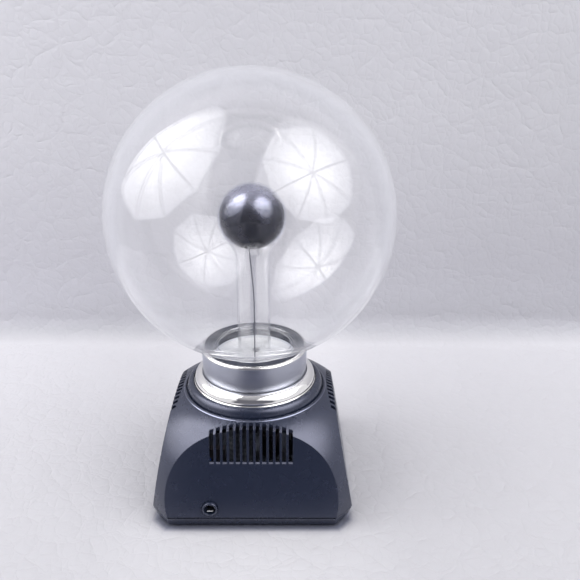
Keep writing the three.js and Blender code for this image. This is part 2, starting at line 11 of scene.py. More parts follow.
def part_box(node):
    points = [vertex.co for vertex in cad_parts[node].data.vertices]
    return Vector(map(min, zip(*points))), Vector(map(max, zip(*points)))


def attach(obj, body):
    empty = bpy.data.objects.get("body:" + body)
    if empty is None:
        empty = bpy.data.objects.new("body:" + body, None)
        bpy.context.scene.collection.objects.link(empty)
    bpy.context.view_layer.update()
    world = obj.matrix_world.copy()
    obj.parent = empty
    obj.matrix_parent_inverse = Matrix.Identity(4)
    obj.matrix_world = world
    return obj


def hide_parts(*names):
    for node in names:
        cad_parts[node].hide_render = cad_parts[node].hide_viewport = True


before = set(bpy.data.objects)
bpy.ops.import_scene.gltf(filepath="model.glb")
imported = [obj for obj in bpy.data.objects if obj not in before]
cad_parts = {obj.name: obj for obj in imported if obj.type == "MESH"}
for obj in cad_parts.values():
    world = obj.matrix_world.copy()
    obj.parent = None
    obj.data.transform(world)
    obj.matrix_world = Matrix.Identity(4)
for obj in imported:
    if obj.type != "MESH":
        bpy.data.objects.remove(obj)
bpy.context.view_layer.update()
MM = 0.001
BASE = "base"


# ---- Places, partly read from the CAD nodes and partly given here ----
def span(node):
    low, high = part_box(node)
    return low / MM, high / MM


GLOBE_LOW, GLOBE_HIGH = span("glass_globe")
GLOBE_R = round((GLOBE_HIGH.x - GLOBE_LOW.x) / 2)
GLOBE_Z = GLOBE_HIGH.z - GLOBE_R
NECK_R = 29.8
NECK_BOTTOM = GLOBE_LOW.z
NECK_FILLET = 4.0
GLASS_WALL = 2.0
STEM_LOW, STEM_HIGH = span("glass_stem")
STEM_R = 12.2
STEM_WALL = 1.0
BULB_R = 24.3
BALL_Z = STEM_HIGH.z - BULB_R
BALL_R = 22.9
COLLAR_LOW, COLLAR_HIGH = span("neck_collar")
SLEEVE_LOW, SLEEVE_HIGH = span("neck_sleeve")
SLEEVE_R = round(SLEEVE_HIGH.x, 1)
SLEEVE_WALL = 2.0
COLLAR_R = SLEEVE_R - SLEEVE_WALL - 0.3
COLLAR_BORE = 31.3
COLLAR_TOP = COLLAR_HIGH.z
CUP_LOW, CUP_HIGH = span("insulator_cup")
RING_LOW, RING_HIGH = span("trim_ring")
SHELL_LOW, SHELL_HIGH = span("housing_shell")
TRAY_LOW, TRAY_HIGH = span("base_tray")
SEAM = SHELL_LOW.z
FACE_HALF = round(SHELL_HIGH.x, 1)
FACE_LEAN = 0.183
DOME = (40.0, SEAM - 1, 54.0, 71.8)
WALL = 2.5
DECK = SHELL_HIGH.z - 1.8
SLOTS, SLOT_PITCH, SLOT_WIDTH, SLOT_BOTTOM = 13, 4.58, 2.9, 52.8
TRAY_STEP = 10.3
CASE_SCREW = 57.0
JACK_LOW, JACK_HIGH = span("socket_body")
PIN_LOW, PIN_HIGH = span("socket_pin")
JACK_X = (JACK_LOW.x + JACK_HIGH.x) / 2
JACK_Z = (PIN_LOW.z + PIN_HIGH.z) / 2
SWITCH_Z = 30.0
CORNERS = [(-1, -1), (1, -1), (1, 1), (-1, 1)]
LEAN = math.atan(FACE_LEAN)


# ---- The studio, in metres ----
BACKDROP_PAINTED_SHADE_BY_HEIGHT = [  # height in metres and colour, with painted shade: darkest in the bend, paler on the open floor and high on the wall
    (0.0, (0.431, 0.425, 0.441)),
    (0.004, (0.362, 0.358, 0.374)),
    (0.0105, (0.313, 0.311, 0.330)),
    (0.022, (0.337, 0.334, 0.358)),
    (0.035, (0.356, 0.353, 0.378)),
    (0.060, (0.366, 0.363, 0.390)),
    (0.100, (0.356, 0.352, 0.378)),
    (0.260, (0.387, 0.384, 0.405)),
]
ROOM_SIDES = (0.80, 0.80, 0.85)
ROOM_TOP = (1.55, 1.55, 1.62)
UMBRELLAS = {  # place, width and radiance
    "left_umbrella": ((-0.88, -0.05, 0.90), 1.85, 5.0),
    "right_umbrella": ((0.76, -0.46, 0.88), 1.50, 5.0),
}
UMBRELLA_AIM = (0, 0, 0.18)
FOOT_HALF = 0.0662
FOOT_CORNER_R = 0.0892
CAMERA_AT = (0.02485, -0.39833, 0.3110)
CAMERA_PITCH, CAMERA_YAW, CAMERA_ROLL = 0.370, 0.005, 0.004


def face_half(z):
    return FACE_HALF - FACE_LEAN * (z - SEAM)


# ---- Node materials ----
class Recipe:
    """A material's node tree, built up by short calls."""

    def __init__(self, name, tree=None):
        if tree is None:
            self.material = bpy.data.materials.new(name)
            self.material.use_nodes = True
            tree = self.material.node_tree
        self.tree = tree
        self.tree.nodes.clear()
        self.place = self.node("ShaderNodeTexCoord").outputs["Object"]

    def node(self, kind, sockets=None, **settings):
        made = self.tree.nodes.new(kind)
        for key, value in settings.items():
            setattr(made, key, value)
        for key, value in (sockets or {}).items():
            self.feed(made.inputs[key], value)
        return made

    def feed(self, socket, value):
        if isinstance(value, bpy.types.NodeSocket):
            self.tree.links.new(value, socket)
        else:
            socket.default_value = value

    def noise(self, per_metre, detail=2.0, stretch=None):
        place = self.place
        if stretch:
            place = self.node("ShaderNodeMapping", {"Vector": place, "Scale": stretch}).outputs[0]
        sockets = {"Vector": place, "Scale": per_metre, "Detail": detail}
        return self.node("ShaderNodeTexNoise", sockets).outputs[0]

    def math(self, operation, a, b=0.0, c=0.0):
        return self.node("ShaderNodeMath", {0: a, 1: b, 2: c}, operation=operation).outputs[0]

    def axes(self):
        return self.node("ShaderNodeSeparateXYZ", {0: self.place}).outputs

    def times(self, a, b):
        """Two colours or vectors multiplied channel by channel."""
        return self.node("ShaderNodeVectorMath", {0: a, 1: b}, operation="MULTIPLY").outputs[0]

    def spread(self, value, low, high):
        """A noise value stretched from its usual 0.3 to 0.7 on to low to high."""
        sockets = {"Value": value, "From Min": 0.3, "From Max": 0.7, "To Min": low, "To Max": high}
        return self.node("ShaderNodeMapRange", sockets).outputs[0]

    def ramp(self, value, *stops):
        made = self.node("ShaderNodeValToRGB", {0: value})
        made.color_ramp.elements[0].position = stops[0][0]
        made.color_ramp.elements[0].color = (*stops[0][1], 1)
        made.color_ramp.elements[1].position = stops[-1][0]
        made.color_ramp.elements[1].color = (*stops[-1][1], 1)
        for at, colour in stops[1:-1]:
            made.color_ramp.elements.new(at).color = (*colour, 1)
        return made.outputs[0]

    def bump(self, height, depth_mm, under=None):
        sockets = {"Height": height, "Distance": depth_mm * MM, "Strength": 1.0}
        if under is not None:
            sockets["Normal"] = under
        return self.node("ShaderNodeBump", sockets).outputs[0]

    def close(self, shader):
        self.node("ShaderNodeOutputMaterial", {"Surface": shader})
        return self.material

    def principled(self, **sockets):
        names = {key.replace("_", " "): value for key, value in sockets.items()}
        return self.close(self.node("ShaderNodeBsdfPrincipled", names).outputs[0])


def shades(colour, low, high):
    return tuple(c * low for c in colour), tuple(c * high for c in colour)


def surface(name, colour, rough, metal=0.0, coat=0.0, vary=0.12, rough_vary=0.06,
            grain=(1800, 0.01), patches=25, edge_mm=0.0, ior=1.5, sheen_tint=(1, 1, 1)):
    """A finished surface: uneven colour and gloss in large patches, a fine moulded or cast grain."""
    r = Recipe(name)
    uneven = r.noise(patches, 3)
    low, high = shades(colour, 1 - vary, 1 + vary)
    tone = r.ramp(uneven, (0.35, low), (0.65, high))
    gloss = r.spread(r.noise(patches * 3.3, 4), rough - rough_vary, rough + rough_vary)
    rounded = None
    if edge_mm:
        rounded = r.node("ShaderNodeBevel", {"Radius": edge_mm * MM}, samples=4).outputs[0]
    normal = r.bump(r.noise(grain[0], 2), grain[1], rounded)
    return r.principled(Base_Color=tone, Roughness=gloss, Metallic=metal, Coat_Weight=coat,
                        Coat_Roughness=0.06, IOR=ior, Specular_Tint=(*sheen_tint, 1), Normal=normal)


def thin_glass(name, edge_tint, haze=0.0, gain=1.0, edge_power=3.0, limb=0.0, calm=None):
    """Clear glass seen as thin skins: what is behind shows through, less so at a grazing angle.

    limb is the milkiness of the outline. calm is two heights in metres: the glass mirrors little below the
    first and fully above the second.
    """
    r = Recipe(name)
    geometry = r.node("ShaderNodeNewGeometry").outputs
    facing = r.node("ShaderNodeVectorMath", {0: geometry["Incoming"], 1: geometry["Normal"]},
                    operation="DOT_PRODUCT").outputs["Value"]
    away = r.math("SUBTRACT", 1.0, r.math("ABSOLUTE", facing))
    head_on = 0.04 * gain
    fresnel = r.math("MULTIPLY_ADD", r.math("POWER", away, 5.0), 0.96 - head_on, head_on)
    if calm:
        height = r.axes()[2]
        calmed = r.node("ShaderNodeMapRange", {"Value": height, "From Min": calm[0], "From Max": calm[1],
                                               "To Min": 0.12, "To Max": 1.0}).outputs[0]
        fresnel = r.math("MULTIPLY", fresnel, calmed)
    clear = r.ramp(r.math("POWER", away, edge_power), (0.0, (1, 1, 1)), (1.0, edge_tint))
    smears = r.spread(r.noise(22, 4), haze * 0.4, haze * 1.6)
    smears = r.math("MULTIPLY_ADD", r.math("POWER", away, 5.0), limb, smears)
    behind = r.node("ShaderNodeBsdfTransparent", {"Color": clear}).outputs[0]
    mirror = r.node("ShaderNodeBsdfGlossy", {"Color": (1, 1, 1, 1), "Roughness": 0.006}).outputs[0]
    dull = r.node("ShaderNodeBsdfDiffuse", {"Color": (0.8, 0.8, 0.82, 1)}).outputs[0]
    veil = r.node("ShaderNodeMixShader", {0: smears, 1: behind, 2: dull}).outputs[0]
    return r.close(r.node("ShaderNodeMixShader", {0: fresnel, 1: veil, 2: mirror}).outputs[0])


def wound(name, colour, per_metre, depth_mm, rough, metal):
    """Wire laid in close turns round Z, with painted shade: darker in the grooves between turns."""
    r = Recipe(name)
    bands = r.node("ShaderNodeTexWave", {"Vector": r.place, "Scale": per_metre, "Distortion": 0.4},
                   bands_direction="Z").outputs[1]
    # Painted shade: the colour follows the bump bands, darker in the grooves between turns.
    low, high = shades(colour, 0.55, 1.1)
    tone = r.ramp(bands, (0.0, low), (1.0, high))
    return r.principled(Base_Color=tone, Roughness=rough, Metallic=metal, Normal=r.bump(bands, depth_mm))


def circuit_laminate():
    """Dark slate board with a faint weave and patchy tone."""
    r = Recipe("laminate")
    weave = r.node("ShaderNodeTexWave", {"Vector": r.place, "Scale": 900, "Distortion": 2.0}).outputs[1]
    tone = r.ramp(r.noise(60, 5), (0.3, (0.10, 0.11, 0.15)), (0.7, (0.15, 0.16, 0.21)))
    return r.principled(Base_Color=tone, Roughness=0.5, Normal=r.bump(weave, 0.01))


def electrode_film():
    """The dark metallic film behind the bulb's glass, with thin and thick places and fine flecks, and painted
    light: dark low on the ball and pale at its top.
    """
    r = Recipe("electrode_film")
    height = r.axes()[2]
    # Painted shade and highlight: the film's colour runs from dark navy low on the ball to pale at its top.
    up_ball = r.math("MULTIPLY_ADD", height, 0.5 / (BALL_R * MM), 0.5 - 0.5 * BALL_Z / BALL_R)
    film = r.ramp(up_ball, (0.15, (0.018, 0.019, 0.034)), (0.5, (0.024, 0.026, 0.044)),
                  (0.72, (0.090, 0.093, 0.125)), (0.90, (0.46, 0.465, 0.56)))
    clouds = r.ramp(r.noise(45, 6), (0.3, (0.7, 0.7, 0.75)), (0.55, (1, 1, 1)), (0.75, (1.5, 1.35, 1.35)))
    tone = r.times(film, clouds)
    gloss = r.spread(r.noise(90, 5), 0.16, 0.34)
    return r.principled(Base_Color=tone, Roughness=gloss, Metallic=0.95, Normal=r.bump(r.noise(520, 4), 0.03))


def contact_metal_with_painted_tip():
    """Dark spring metal, painted near white on the last millimetre before y = 0 as a painted highlight."""
    r = Recipe("contact_metal_with_painted_tip")
    along = r.math("MULTIPLY", r.axes()[1], 100.0)
    # Painted highlight: the front millimetre is near white, the rest of the spring dark.
    tone = r.ramp(along, (0.07, (0.92, 0.92, 0.94)), (0.10, (0.05, 0.05, 0.06)))
    return r.principled(Base_Color=tone, Roughness=0.5, Metallic=0.4)


MATERIALS = {
    "clear_glass": thin_glass("clear_glass", (0.94, 0.945, 0.96), haze=0.006, gain=1.15,
                              limb=0.45, calm=(0.118, 0.145)),
    "bent_glass": thin_glass("bent_glass", (0.80, 0.81, 0.85), haze=0.02, gain=7.0),
    "neck_glass": thin_glass("neck_glass", (0.86, 0.87, 0.90), gain=0.7, calm=(0.112, 0.30)),
    "bulb_glass": thin_glass("bulb_glass", (0.80, 0.82, 0.88), gain=0.4),
    "stem_glass": thin_glass("stem_glass", (0.35, 0.37, 0.46), haze=0.02, gain=2.6, edge_power=9.0),
    "black_shell": surface("black_shell", (0.0075, 0.0115, 0.024), 0.27, grain=(2600, 0.012), edge_mm=0.5,
                           vary=0.03, rough_vary=0.015, ior=1.75, sheen_tint=(0.80, 0.815, 1.0)),
    # Painted highlight: a pale, shiny metal copy of the black shell, used on the groove's lip and the slot
    # sills so that they show as bright lines.
    "painted_highlight_edge": surface("painted_highlight_edge", (0.20, 0.21, 0.27), 0.22, metal=0.9, vary=0.05,
                             grain=(900, 0.003)),
    "black_collar": surface("black_collar", (0.011, 0.014, 0.025), 0.36, grain=(900, 0.003), edge_mm=0.3,
                            sheen_tint=(0.80, 0.84, 1.0)),
    "satin_metal": surface("satin_metal", (0.42, 0.435, 0.50), 0.36, metal=1.0, vary=0.03,
                           rough_vary=0.03, grain=(260, 0.004)),
    "chrome_plate": surface("chrome_plate", (0.90, 0.89, 0.86), 0.05, metal=1.0, vary=0.02,
                            rough_vary=0.02, grain=(160, 0.02)),
    "dark_coating": electrode_film(),
    "steel_wool": surface("steel_wool", (0.30, 0.30, 0.32), 0.38, metal=1.0, vary=0.5),
    "steel": surface("steel", (0.55, 0.56, 0.58), 0.30, metal=1.0, grain=(1500, 0.006)),
    "lead_steel": surface("lead_steel", (0.10, 0.10, 0.12), 0.35, metal=0.8, grain=(1500, 0.004)),
    # Painted shade: the winding is coloured near black rather than copper, standing in for the shade inside
    # the case.
    "copper_wire": wound("copper_wire", (0.10, 0.085, 0.09), 780, 0.12, 0.32, 0.8),
    "potting": wound("potting", (0.13, 0.14, 0.18), 260, 0.15, 0.42, 0.0),
    "black_epoxy": surface("black_epoxy", (0.055, 0.060, 0.078), 0.45, grain=(2200, 0.01)),
    "black_rubber": surface("black_rubber", (0.016, 0.016, 0.018), 0.75, vary=0.25, grain=(1400, 0.03)),
    "pale_silicone": surface("pale_silicone", (0.72, 0.73, 0.77), 0.35, vary=0.06, grain=(1400, 0.02)),
    "white_plastic": surface("white_plastic", (0.92, 0.92, 0.92), 0.45, vary=0.05, grain=(1500, 0.01)),
    "board_laminate": circuit_laminate(),
    "ferrite": surface("ferrite", (0.12, 0.13, 0.17), 0.65, vary=0.3, grain=(2500, 0.03)),
    "contact_metal_with_painted_tip": contact_metal_with_painted_tip(),
    "aluminium": surface("aluminium", (0.60, 0.61, 0.63), 0.38, metal=1.0, grain=(700, 0.01)),
    "blue_sleeve": surface("blue_sleeve", (0.03, 0.07, 0.30), 0.32, coat=0.4, grain=(900, 0.01)),
    "film_dip": surface("film_dip", (0.07, 0.06, 0.07), 0.35, coat=0.5, grain=(300, 0.05)),
    # Painted shade: the red sleeving is coloured near black, standing in for the shade inside the case.
    "red_sleeving": surface("red_sleeving", (0.07, 0.045, 0.055), 0.42, grain=(1200, 0.01)),
}


# ---- Meshes, drawn in millimetres ----
def arc(r, z, a, b, start, end, steps):
    """Points on an arc of an ellipse, angles in degrees from +r towards +z."""
    turns = [math.radians(start + (end - start) * i / steps) for i in range(steps + 1)]
    return [(r + a * math.cos(t), z + b * math.sin(t)) for t in turns]


def keep_mesh(name, bm, sharp=32):
    """A bmesh in millimetres as a smooth mesh in metres, with edges over the sharp angle kept crisp."""
    bmesh.ops.remove_doubles(bm, verts=bm.verts, dist=1e-4)
    bmesh.ops.recalc_face_normals(bm, faces=bm.faces)
    bmesh.ops.scale(bm, vec=(MM, MM, MM), verts=bm.verts)
    mesh = bpy.data.meshes.new(name)
    bm.to_mesh(mesh)
    bm.free()
    mesh.shade_smooth()
    mesh.set_sharp_from_angle(angle=math.radians(sharp))
    return mesh


def turned_bmesh(profile, facets=160, closed=True):
    """A profile of (radius, height) points turned round Z. It closes on itself or runs on the axis."""
    bm = bmesh.new()
    rows = []
    for r, z in profile:
        if r < 1e-6:
            rows.append([bm.verts.new((0, 0, z))] * facets)
            continue
        steps = [2 * math.pi * i / facets for i in range(facets)]
        rows.append([bm.verts.new((r * math.cos(t), r * math.sin(t), z)) for t in steps])
    pairs = list(zip(rows, rows[1:] + rows[:1] if closed else rows[1:]))
    for low, high in pairs:
        for i in range(facets):
            j = (i + 1) % facets
            corners = list(dict.fromkeys([low[i], low[j], high[j], high[i]]))
            if len(corners) > 2:
                bm.faces.new(corners)
    return bm


def turned(name, profile, facets=160, sharp=32):
    return keep_mesh(name, turned_bmesh(profile, facets), sharp)


def skin(outside, wall):
    """The outside profile, run from the top down, and the same line set in by the wall."""
    inside = []
    for i, (r, z) in enumerate(outside):
        before, after = outside[max(i - 1, 0)], outside[min(i + 1, len(outside) - 1)]
        dr, dz = after[0] - before[0], after[1] - before[1]
        scale = wall / math.hypot(dr, dz)
        inside.append((0, z - wall) if r < 1e-6 else (r + dz * scale, z - dr * scale))
    return outside + inside[::-1]


def block_into(bm, low, high, matrix=None):
    made = bmesh.ops.create_cube(bm, size=1)["verts"]
    size = Vector(high) - Vector(low)
    bmesh.ops.scale(bm, vec=size, verts=made)
    bmesh.ops.translate(bm, vec=(Vector(low) + Vector(high)) / 2, verts=made)
    if matrix is not None:
        bmesh.ops.transform(bm, matrix=matrix, verts=made)
    return made


def rod_into(bm, radius, low, high, matrix=None, facets=48, top=None):
    """A round bar from low to high along Z, or a cone frustum if top gives its other radius."""
    made = bmesh.ops.create_cone(bm, cap_ends=True, segments=facets, radius1=radius,
                                 radius2=radius if top is None else top, depth=high - low)["verts"]
    bmesh.ops.translate(bm, vec=(0, 0, (low + high) / 2), verts=made)
    if matrix is not None:
        bmesh.ops.transform(bm, matrix=matrix, verts=made)
    return made


def frustum_mesh(half_low, low, half_high, high):
    bm = bmesh.new()
    rows = [[bm.verts.new((sx * half, sy * half, z)) for sx, sy in CORNERS]
            for half, z in ((half_low, low), (half_high, high))]
    for i in range(4):
        j = (i + 1) % 4
        bm.faces.new((rows[0][i], rows[0][j], rows[1][j], rows[1][i]))
    bm.faces.new(rows[0][::-1])
    bm.faces.new(rows[1])
    return keep_mesh("frustum", bm)


def combine(mesh, operation, *others):
    """The mesh joined with, cut by or kept inside each other mesh in turn."""
    holder = bpy.data.objects.new("holder", mesh)
    bpy.context.scene.collection.objects.link(holder)
    for other in others:
        tool = bpy.data.objects.new("tool", other)
        bpy.context.scene.collection.objects.link(tool)
        modifier = holder.modifiers.new("boolean", "BOOLEAN")
        modifier.operation, modifier.object, modifier.solver = operation, tool, "EXACT"
        graph = bpy.context.evaluated_depsgraph_get()
        made = bpy.data.meshes.new_from_object(holder.evaluated_get(graph))
        holder.modifiers.clear()
        holder.data = made
        bpy.data.objects.remove(tool)
    result = holder.data
    bpy.data.objects.remove(holder)
    return result


def crisp(mesh, sharp=30):
    mesh.shade_smooth()
    mesh.set_sharp_from_angle(angle=math.radians(sharp))
    return mesh


def add(name, mesh, material, nodes=(), body=BASE, place=None):
    """Puts a finished mesh in the scene as a piece that rides on a body."""
    made = bpy.data.objects.new(name, mesh)
    mesh.materials.clear()
    mesh.materials.append(MATERIALS[material])
    bpy.context.scene.collection.objects.link(made)
    if place is not None:
        made.matrix_world = place
    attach(made, body)
    if nodes:
        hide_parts(*nodes)
    return made


def tube(name, points, radius, facets=12):
    """A round wire through points, smoothed, in millimetres."""
    curve = bpy.data.curves.new(name, "CURVE")
    curve.dimensions = "3D"
    line = curve.splines.new("NURBS")
    line.points.add(len(points) - 1)
    for point, at in zip(line.points, points):
        point.co = (*(c * MM for c in at), 1)
    line.use_endpoint_u, line.order_u, line.resolution_u = True, 4, 8
    curve.bevel_depth, curve.bevel_resolution, curve.use_fill_caps = radius * MM, facets // 4, True
    holder = bpy.data.objects.new(name, curve)
    bpy.context.scene.collection.objects.link(holder)
    graph = bpy.context.evaluated_depsgraph_get()
    mesh = bpy.data.meshes.new_from_object(holder.evaluated_get(graph))
    bpy.data.objects.remove(holder)
    return crisp(mesh, 50)


# ---- Glass and electrode ----
def globe_profile():
    bend = NECK_R + NECK_FILLET
    drop = math.sqrt((GLOBE_R + NECK_FILLET) ** 2 - bend ** 2)
    tangent = math.degrees(math.atan2(-drop, bend))
    sphere = arc(0, GLOBE_Z, GLOBE_R, GLOBE_R, 90, tangent, 90)
    fillet = arc(bend, GLOBE_Z - drop, NECK_FILLET, NECK_FILLET, tangent + 180, 180, 10)
    return skin([(0, GLOBE_Z + GLOBE_R)] + sphere[1:] + fillet[1:] + [(NECK_R, NECK_BOTTOM)], GLASS_WALL)


def stem_profile():
    flare_r = 7.0
    foot = STEM_LOW.z + STEM_WALL
    shoulder = BALL_Z - 30
    return skin(
        [(0, BALL_Z + BULB_R)]
        + arc(0, BALL_Z, BULB_R, BULB_R, 90, -44, 60)[1:]
        + arc(STEM_R + 8, shoulder, 8, 10, 135, 180, 10)
        + arc(STEM_R + flare_r, foot + flare_r, flare_r, flare_r, 180, 270, 12)
        + [(NECK_R - GLASS_WALL - 0.3, foot)],
        STEM_WALL,
    )


def electrode_profile():
    return skin([(0, BALL_Z + BALL_R)] + arc(0, BALL_Z, BALL_R, BALL_R, 90, -66, 60)[1:], 0.8)


def wool_mesh():
    """A tuft of fine curled steel strands packed in the throat of the electrode."""
    draw = random.Random(11)
    bm = bmesh.new()
    for _ in range(150):
        turn = draw.uniform(0, 2 * math.pi)
        tilt = draw.uniform(-0.6, 0.6)
        reach = 8.2 * math.sqrt(draw.random())
        height = BALL_Z - 13.5 + draw.uniform(-5.2, 3)
        centre = Vector((reach * math.cos(turn), reach * math.sin(turn), height))
        loop = draw.uniform(1.2, 3.4)
        start = draw.uniform(0, 6.28)
        axis = Matrix.Rotation(tilt, 4, "X") @ Matrix.Rotation(turn, 4, "Z")
        previous = None
        for step in range(9):
            angle = start + step * 0.55
            curl = Vector((loop * math.cos(angle), loop * math.sin(angle), 0.3 * math.sin(3 * angle)))
            at = centre + axis @ curl
            limit = 9.6 if at.z > BALL_Z - 18 else 8.0
            flat = math.hypot(at.x, at.y)
            if flat > limit:
                at.x, at.y = at.x * limit / flat, at.y * limit / flat
            at.z = max(at.z, BALL_Z - 19.4 - 1.2 * math.cos(flat / 6))
            ring = [bm.verts.new(at + 0.13 * Vector((math.cos(a), math.sin(a), math.sin(a + 1))))
                    for a in (0, 2.1, 4.2)]
            if previous:
                for i in range(3):
                    bm.faces.new((previous[i], previous[(i + 1) % 3], ring[(i + 1) % 3], ring[i]))
            else:
                bm.faces.new(ring[::-1])
            previous = ring
        bm.faces.new(previous)
    return keep_mesh("wool", bm, 80)


def build_glass():
    globe = add("globe", turned("globe", globe_profile(), 192), "clear_glass",
                ["glass_globe"])
    globe.data.materials.append(MATERIALS["bent_glass"])
    globe.data.materials.append(MATERIALS["neck_glass"])
    bend_low, bend_high = COLLAR_TOP - 2.3, COLLAR_TOP + 0.6
    for face in globe.data.polygons:
        if face.center.z < bend_high * MM:
            face.material_index = 1 if face.center.z > bend_low * MM else 2
    stem = add("stem_and_bulb", turned("stem", stem_profile(), 96), "stem_glass",
               ["glass_stem"])
    stem.data.materials.append(MATERIALS["bulb_glass"])
    for face in stem.data.polygons:
        face.material_index = int(face.center.z > (BALL_Z - 17) * MM)


def build_electrode():
    """The ball with its tuft, the wire up to it, and the sealed tip of the pumping tube below."""
    add("electrode", turned("electrode", electrode_profile(), 128), "dark_coating",
        ["electrode_ball"])
    add("wool_tuft", wool_mesh(), "steel_wool", ["contact_wool"])
    low, high = span("lead_wire")
    top = low.x + 0.5
    path = [(0, 0, low.z), (0, 0, low.z + 12), (0.4, 0, 122), (0.5, 0, 150), (-0.8, 0, 168),
            (top + 0.2, 0, BALL_Z - 24), (top, 0, high.z - 0.3)]
    add("centre_wire", tube("centre_wire", path, 0.45), "lead_steel", ["lead_wire"])
    tip_low, tip_high = span("exhaust_tip")
    tip = [(0, -12), (0.5, -11.9), (0.9, -11), (1.3, -9.6), (2.1, -8.4), (2.6, -7.2), (2.6, -0.2), (2.4, 0),
           (0, 0)]
    tip_at = Matrix.Translation(Vector((0, (tip_low.y + tip_high.y) / 2, tip_high.z)) * MM)
    add("pumping_tip", turned("tip", tip, 40), "stem_glass", ["exhaust_tip"], place=tip_at)


# ---- Collar, cup and ring ----
def build_collar_tube():
    soft = 0.6
    low = COLLAR_LOW.z
    shelf = CUP_LOW.z - 0.3
    flange = low + 3
    collar = (
        [(46, low), (46, flange), (COLLAR_R, flange), (COLLAR_R, COLLAR_TOP)]
        + arc(COLLAR_BORE + soft, COLLAR_TOP - soft, soft, soft, 90, 180, 6)
        + [(COLLAR_BORE, shelf), (24, shelf), (24, shelf - 2.5), (34, shelf - 2.5), (34, low)]
    )
    holes = bmesh.new()
    for i in range(1, 4):
        screw_low, screw_high = span(f"collar_screw_{i}")
        middle = (screw_low + screw_high) / 2
        rod_into(holes, 1.6, low - 5, flange + 5, Matrix.Translation((middle.x, middle.y, 0)))
    collar = crisp(combine(turned("collar", collar, 192), "DIFFERENCE", keep_mesh("holes", holes)))
    add("collar_tube", collar, "black_collar", ["neck_collar"])


def build_sleeve():
    """The metal sleeve, satin on its side and polished on its rounded top edge."""
    inner = SLEEVE_R - SLEEVE_WALL
    sleeve = (
        [(SLEEVE_R - 0.3, SLEEVE_LOW.z), (SLEEVE_R, SLEEVE_LOW.z + 0.3)]
        + arc(inner, SLEEVE_HIGH.z - SLEEVE_WALL, SLEEVE_WALL, SLEEVE_WALL, 0, 90, 12)
        + [(inner, SLEEVE_LOW.z)]
    )
    metal_sleeve = add("metal_sleeve", turned("sleeve", sleeve, 192, 50), "satin_metal",
                       ["neck_sleeve"])
    metal_sleeve.data.materials.append(MATERIALS["chrome_plate"])
    for face in metal_sleeve.data.polygons:
        face.material_index = int(face.center.z > (SLEEVE_HIGH.z - 1.7) * MM)


def build_cup():
    rim_out = COLLAR_BORE - 0.3
    rim_in = rim_out - 0.9
    floor = NECK_BOTTOM - 0.4
    cup = turned("cup", [(0, CUP_LOW.z), (rim_out, CUP_LOW.z), (rim_out, CUP_HIGH.z - 0.3),
                         (rim_out - 0.3, CUP_HIGH.z), (rim_in + 0.3, CUP_HIGH.z), (rim_in, CUP_HIGH.z - 0.3),
                         (rim_in, floor + 0.5), (rim_in - 0.5, floor), (0, floor)], 160)
    holes = bmesh.new()
    tip_low, tip_high = span("exhaust_tip")
    rod_into(holes, 2.2, 80, 120)
    rod_into(holes, 3.2, 80, 120, Matrix.Translation((0, (tip_low.y + tip_high.y) / 2, 0)))
    cup = crisp(combine(cup, "DIFFERENCE", keep_mesh("holes", holes)))
    add("insulating_cup", cup, "white_plastic", ["insulator_cup"])


def build_seal():
    seal_low, seal_high = span("neck_seal")
    seal_in, seal_out = NECK_R + 0.3, COLLAR_BORE - 0.3
    seal = [(seal_in, seal_low.z), (seal_out, seal_low.z), (seal_out, seal_high.z - 0.3),
            (seal_out - 0.25, seal_high.z), (seal_in + 0.2, seal_high.z), (seal_in, seal_high.z - 0.3)]
    add("seal_ring", turned("seal", seal, 160), "pale_silicone", ["neck_seal"])


def build_ring():
    bore = SLEEVE_R + 0.3
    seat = RING_LOW.z
    ring = (
        [(bore, seat), (46.1, seat), (46.6, seat + 0.15), (46.8, seat + 0.5), (46.8, seat + 0.9),
         (46.55, seat + 1.25), (46.1, seat + 1.35)]
        + arc(bore + 0.4, seat + 1.3, 45.9 - bore, 7.1, 6, 84, 24)
        + [(bore + 0.35, seat + 8.4), (bore, seat + 8.2)]
    )
    add("bright_ring", turned("ring", ring, 192, 50), "chrome_plate", ["trim_ring"])


def build_boot():
    boot_low, boot_high = span("wire_boot")
    low, high = boot_low.z, boot_high.z
    boot = [(1, low), (4.6, low), (5, low + 0.4), (5, low + 3.8), (4.6, low + 4.3), (3.5, low + 6.6),
            (3.4, high - 0.4), (3.0, high), (1, high)]
    add("lead_boot", turned("boot", boot, 48), "black_rubber", ["wire_boot"])


# ---- Housing and tray ----
def dome(inset, start, end, steps):
    return arc(DOME[0], DOME[1], DOME[2] - inset, DOME[3] - inset, start, end, steps)


def slot_cutters():
    """Upright bars for the slots of all four faces, sloping at the outer edge of each slot's sill."""
    bm = bmesh.new()
    half = (SLOTS - 1) / 2
    for turn in range(4):
        matrix = Matrix.Rotation(turn * math.pi / 2, 4, "Z")
        for i in range(SLOTS):
            x = (i - half) * SLOT_PITCH
            end = 55.5 + 1.8 * ((i - half) / half) ** 2
            side = [(-end, 90), (-end, SLOT_BOTTOM), (-63.9, SLOT_BOTTOM), (-80, SLOT_BOTTOM - 14.5),
                    (-80, 90)]
            rows = [[bm.verts.new(matrix @ Vector((x + dx, y, z))) for y, z in side]
                    for dx in (-SLOT_WIDTH / 2, SLOT_WIDTH / 2)]
            bm.faces.new(rows[0])
            bm.faces.new(rows[1][::-1])
            for j in range(5):
                k = (j + 1) % 5
                bm.faces.new((rows[0][j], rows[1][j], rows[1][k], rows[0][k]))
    return keep_mesh("slots", bm)


SWITCH_FRAME = Matrix.Translation((0, face_half(SWITCH_Z), SWITCH_Z)) @ Matrix.Rotation(LEAN, 4, "X")
FRONT = Matrix.Translation((JACK_X, -face_half(JACK_Z), JACK_Z)) @ Matrix.Rotation(math.pi / 2, 4, "X")


